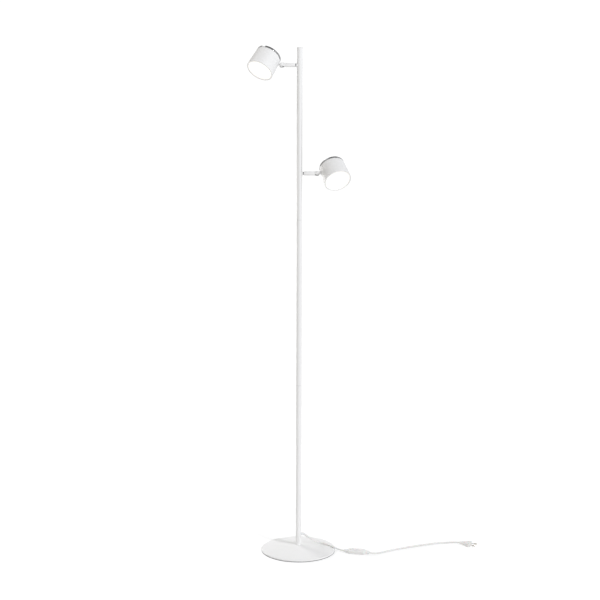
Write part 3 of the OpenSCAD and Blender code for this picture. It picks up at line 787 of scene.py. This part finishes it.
HEAD_L = 63.8           # from the back to the front edge
DIFFUSER_MID = 3.1      # middle of the diffuser, behind the front edge
FRONT_R = 40.0
REAR_R = 37.6
BACK_T = 5.0            # thickness of the back plate's rim
WALL = 1.5
OPENING_R = 30.0        # hole in the shell's rear that the back plate plugs


def head_place(which):
    """The head's own frame: z forward from the middle of the back, x along the tilt axis.

    Forward is the mean normal of the diffuser's faces that point away from the back plate."""
    low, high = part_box(f"{which}_head_diffuser")
    centre = (low + high) / 2
    back_low, back_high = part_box(f"{which}_head_back_plate")
    ahead = (centre - (back_low + back_high) / 2).normalized()
    faces = frame["nodes"][f"{which}_head_diffuser"].data.polygons
    forward = sum((f.normal * f.area for f in faces if f.normal.dot(ahead) > 0.9),
                  Vector()).normalized()
    back = centre - forward * (HEAD_L - DIFFUSER_MID) * MM
    return axes(back, Vector(JOINTS[f"{which}_head_tilt"]["axis"]), forward)


def head_shell(which, place):
    """Slightly tapered can, open in front, with a hole in its rear."""
    outline = rounded([
        (OPENING_R, BACK_T, 0.2), (REAR_R, BACK_T, 3.0), (FRONT_R, HEAD_L, 0.5),
        (FRONT_R - WALL, HEAD_L, 0.5), (REAR_R - WALL, BACK_T + WALL, 1.6),
        (OPENING_R, BACK_T + WALL, 0.2)], True, 8)
    piece = lathe(f"{which}_spot_shell", outline, place, PAINT, 160)
    return settle(piece, f"{which}_head", "white_paint", f"{which}_head_shell")


def head_bezel(which, place):
    """Thin ring just inside the shell's front edge, with a lip over the diffuser."""
    out = FRONT_R - WALL - 0.15
    back = HEAD_L - 5.8
    face = HEAD_L - 0.2
    lip_r, lip_back = out - 2.9, HEAD_L - 1.9
    outline = rounded([
        (out - 0.3, back, 0.2), (out, HEAD_L - 0.9, 0.5), (out - 0.9, face, 0.3),
        (out - 2.3, face, 0.5), (lip_r, HEAD_L - 1.4, 0.3), (lip_r, lip_back, 0.1),
        (out - 1.5, lip_back, 0.1), (out - 1.7, back, 0.2)], True, 5)
    piece = lathe(f"{which}_front_bezel", outline, place, BEZEL, 160)
    return settle(piece, f"{which}_head", "bezel_plastic", f"{which}_head_bezel")


def head_diffuser(which, place):
    """Opal disc with a very shallow dome and a rim that sits behind the bezel."""
    r = FRONT_R - WALL - 1.95
    back, front = HEAD_L - 4.2, HEAD_L - 2.1
    dome_r, dome_rise, steps = r - 1.6, 1.2, 10
    dome = [(dome_r - dome_r * k / steps, front + dome_rise * (1 - (1 - k / steps) ** 2))
            for k in range(steps + 1)]
    outline = [(0, back), (r, back), (r, front - 0.1), (r - 0.4, front)] + dome
    piece = lathe(f"{which}_opal_lens", outline, place, OPAL, 128)
    return settle(piece, f"{which}_head", "opal_diffuser", f"{which}_head_diffuser")


def head_back(which, place):
    """Chrome back plate: a rounded edge, and a shallow dish with a fine groove round its
    flat middle. z grows inwards, so a higher z is further in."""
    r = REAR_R - 0.2
    middle_z, groove_z = 0.8, 1.1
    dish_in, dish_out, dish_fall, steps = 14.0, r - 8.4, 0.5, 6
    dish = [(dish_in + (dish_out - dish_in) * k / steps, middle_z + dish_fall * (k / steps) ** 2, 0)
            for k in range(steps + 1)]
    collar_out, collar_in, collar_z = OPENING_R - 0.2, 26, 6.6      # fits the shell's hole
    inner_z = 3
    outline = rounded(
        [(0, middle_z, 0), (12, middle_z, 0.2), (12.5, groove_z, 0.1), (13.5, groove_z, 0.1)]
        + dish
        + [(r - 6.8, 0, 0.6), (r, 0, 0.8), (r, 4.4, 0.2), (r - 0.9, BACK_T, 0.2),
           (collar_out, BACK_T, 0.1), (collar_out, collar_z, 0.3), (collar_in, collar_z, 0.3),
           (collar_in, inner_z, 0.3), (0, inner_z, 0)],
        False, 6)
    piece = lathe(f"{which}_chrome_back", outline, place, CHROME, 160, 24)
    return settle(piece, f"{which}_head", "chrome", f"{which}_head_back_plate")


for which in WHICH:
    place = head_place(which)
    head_shell(which, place)
    head_bezel(which, place)
    head_diffuser(which, place)
    head_back(which, place)


# ---- CAD nodes that stay -------------------------------------------------

def finish_node(name, material, edge=0.0, sharp=32):
    """Gives a CAD node its material and, where edge is set, softened edges in mm."""
    node = frame["nodes"][name]
    node.data.materials.clear()
    node.data.materials.append(material)
    for polygon in node.data.polygons:
        polygon.material_index = 0
    weld = node.modifiers.new("weld", "WELD")
    weld.merge_threshold = 0.00002
    if edge:
        bevel = node.modifiers.new("edges", "BEVEL")
        bevel.width = edge * MM
        bevel.segments = 2
        bevel.limit_method = "ANGLE"
        bevel.angle_limit = math.radians(sharp + 3)
        bevel.use_clamp_overlap = True


STAND_FINISH = {
    "pole_lower": (PAINT, 0), "pole_middle": (PAINT, 0), "pole_upper": (PAINT, 0),
    "upper_arm_socket": (PAINT, 0.3), "lower_arm_socket": (PAINT, 0.3),
    "base_weight": (IRON, 0.4), "base_plate": (ZINC, 0.2), "base_pad": (FOAM, 0.3),
    "base_screws": (ZINC, 0), "pole_stud": (ZINC, 0.4), "base_washer": (ZINC, 0.2),
    "base_nut": (ZINC, 0.4), "pole_foot": (ZINC, 0.3), "lower_joiner": (ZINC, 0),
    "upper_joiner": (ZINC, 0), "inner_cable": (PVC, 0), "switch_screws": (ZINC, 0.2)}
ARM_FINISH = {
    "arm_tube": (PAINT, 0.25), "arm_ferrule": (CHROME, 0.3), "arm_clip": (ZINC, 0),
    "knuckle_fork": (PAINT, 0.35), "knuckle_screw": (PAINT, 0.2),
    "knuckle_nut": (CHROME, 0.2), "knuckle_washers": (NYLON, 0)}
HEAD_FINISH = {
    "head_tongue": (PAINT, 0.35), "head_reflector": (REFLECTOR, 0), "head_led_board": (BOARD, 0),
    "head_heat_sink": (SINK, 0), "head_screws": (ZINC, 0.15)}

for name, (material, edge) in STAND_FINISH.items():
    finish_node(name, material, edge)
for which in WHICH:
    for name, (material, edge) in {**ARM_FINISH, **HEAD_FINISH}.items():
        finish_node(f"{which}_{name}", material, edge)


# ---- floor and light -----------------------------------------------------

WHITE = 1.05            # glow that the camera sees as plain white
FLOOR_R = 1.2
FLOOR_NEAR = 0.40       # radius where the fade to plain white starts
FLOOR_FAR = 1.10        # radius where it ends
FLOOR_GLOW = 0.50       # the near floor's own glow, as the camera sees it
FLOOR_GIVEN = 0.32      # the floor's glow as light on the lamp


def add_floor():
    """A white floor disc that takes soft shadows by the lamp and fades to plain white."""
    place = Matrix.Identity(4)
    rim = FLOOR_R / MM
    mesh = lathe_mesh("floor", [(0, 0), (rim, 0), (rim, -10), (0, -10)], place, 96)
    floor = bpy.data.objects.new("floor", mesh)
    bpy.context.scene.collection.objects.link(floor)
    s = Shader("studio_floor", (0.55, 0.55, 0.55), 0.9)
    s.tint(s.noise(3, 2), (0.545, 0.545, 0.545), (0.555, 0.555, 0.555))
    s.set(Emission_Color=(1, 1, 1, 1), Specular_IOR_Level=0.1)
    reach = s.nodes.new("ShaderNodeVectorMath")
    reach.operation = "LENGTH"
    s.links.new(s.place, reach.inputs[0])
    fade = s.nodes.new("ShaderNodeMapRange")
    fade.inputs["From Min"].default_value = FLOOR_NEAR
    fade.inputs["From Max"].default_value = FLOOR_FAR
    fade.inputs["To Min"].default_value = FLOOR_GLOW
    fade.inputs["To Max"].default_value = WHITE
    s.links.new(reach.outputs["Value"], fade.inputs["Value"])
    seen = s.nodes.new("ShaderNodeMapRange")
    seen.inputs["To Min"].default_value = FLOOR_GIVEN
    s.links.new(fade.outputs["Result"], seen.inputs["To Max"])
    s.links.new(s.nodes.new("ShaderNodeLightPath").outputs["Is Camera Ray"], seen.inputs["Value"])
    beyond_base = s.nodes.new("ShaderNodeMath")
    beyond_base.operation = "GREATER_THAN"
    beyond_base.inputs[1].default_value = BASE_R * MM
    s.links.new(reach.outputs["Value"], beyond_base.inputs[0])
    open_floor = s.nodes.new("ShaderNodeMath")
    open_floor.operation = "MULTIPLY"
    s.links.new(seen.outputs["Result"], open_floor.inputs[0])
    s.links.new(beyond_base.outputs["Value"], open_floor.inputs[1])
    s.links.new(open_floor.outputs["Value"], s.surface.inputs["Emission Strength"])
    mesh.materials.append(s.material)


def add_world(seen, around, ceiling, left):
    """A white surround: plain behind the lamp, and as light on it dimmer from overhead
    and, by the share left, dimmer and warmer from the left."""
    world = bpy.data.worlds.new("studio")
    bpy.context.scene.world = world
    world.use_nodes = True
    nodes, links = world.node_tree.nodes, world.node_tree.links
    shade = nodes["Background"]
    split = nodes.new("ShaderNodeSeparateXYZ")
    links.new(nodes.new("ShaderNodeTexCoord").outputs["Generated"], split.inputs["Vector"])

    def fade(value, first, last, low, high):
        """The value, mapped from first and last onto low and high."""
        node = nodes.new("ShaderNodeMapRange")
        for name, number in (("From Min", first), ("From Max", last),
                             ("To Min", low), ("To Max", high)):
            node.inputs[name].default_value = number
        links.new(value, node.inputs["Value"])
        return node.outputs["Result"]

    given = nodes.new("ShaderNodeMath")
    given.operation = "MULTIPLY"
    links.new(fade(split.outputs["Z"], 0.55, 0.85, around, ceiling), given.inputs[0])
    links.new(fade(split.outputs["X"], -0.95, -0.45, left, 1), given.inputs[1])
    warm = nodes.new("ShaderNodeValToRGB")
    warm.color_ramp.elements[0].color = (1.0, 0.96, 0.91, 1)
    warm.color_ramp.elements[1].color = (0.985, 0.99, 1.0, 1)
    links.new(fade(split.outputs["X"], -0.9, 0.1, 0, 1), warm.inputs["Fac"])
    rays = nodes.new("ShaderNodeLightPath")
    white = nodes.new("ShaderNodeMix")
    white.data_type = "RGBA"
    white.inputs[7].default_value = (1, 1, 1, 1)
    links.new(rays.outputs["Is Camera Ray"], white.inputs[0])
    links.new(warm.outputs["Color"], white.inputs[6])
    links.new(white.outputs[2], shade.inputs["Color"])
    mix = nodes.new("ShaderNodeMapRange")
    mix.inputs["To Max"].default_value = seen
    links.new(given.outputs["Value"], mix.inputs["To Min"])
    links.new(rays.outputs["Is Camera Ray"], mix.inputs["Value"])
    links.new(mix.outputs["Result"], shade.inputs["Strength"])


def aim_light(data, at, aim):
    """Hangs a light at one point and turns it to another."""
    light = bpy.data.objects.new(data.name, data)
    bpy.context.scene.collection.objects.link(light)
    light.location = at
    light.rotation_euler = (Vector(aim) - Vector(at)).to_track_quat("-Z", "Y").to_euler()


def add_light(name, at, aim, size, watts, color=(1, 1, 1)):
    """A round soft light."""
    data = bpy.data.lights.new(name, "AREA")
    data.color = color
    data.shape = "DISK"
    data.size = size
    data.energy = watts
    aim_light(data, at, aim)


def add_pool(at, aim, radius, watts, cone):
    """A pool of light on the base, from the key's side."""
    data = bpy.data.lights.new("pool", "SPOT")
    data.shadow_soft_size = radius
    data.energy = watts
    data.spot_size = math.radians(cone)
    data.spot_blend = 1.0
    aim_light(data, at, aim)


add_floor()
add_world(WHITE, around=0.77, ceiling=0.22, left=0.66)
add_light("key", (2.67, -2.97, 3.9), (0, 0, 0.9), 0.8, 97, (0.96, 0.97, 1.0))
add_pool((2.52, -3.1, 3.9), (0.05, 0, 0), radius=0.35, watts=150, cone=13)
add_light("top", (-1.25, 0.45, 3.1), (0, 0, 0.8), 1.2, 8)
add_light("back", (-1.1, 1.0, 0.8), (0, 0, 0), 0.6, 11)

scene = bpy.context.scene
scene.view_settings.view_transform = "Standard"
scene.view_settings.look = "None"
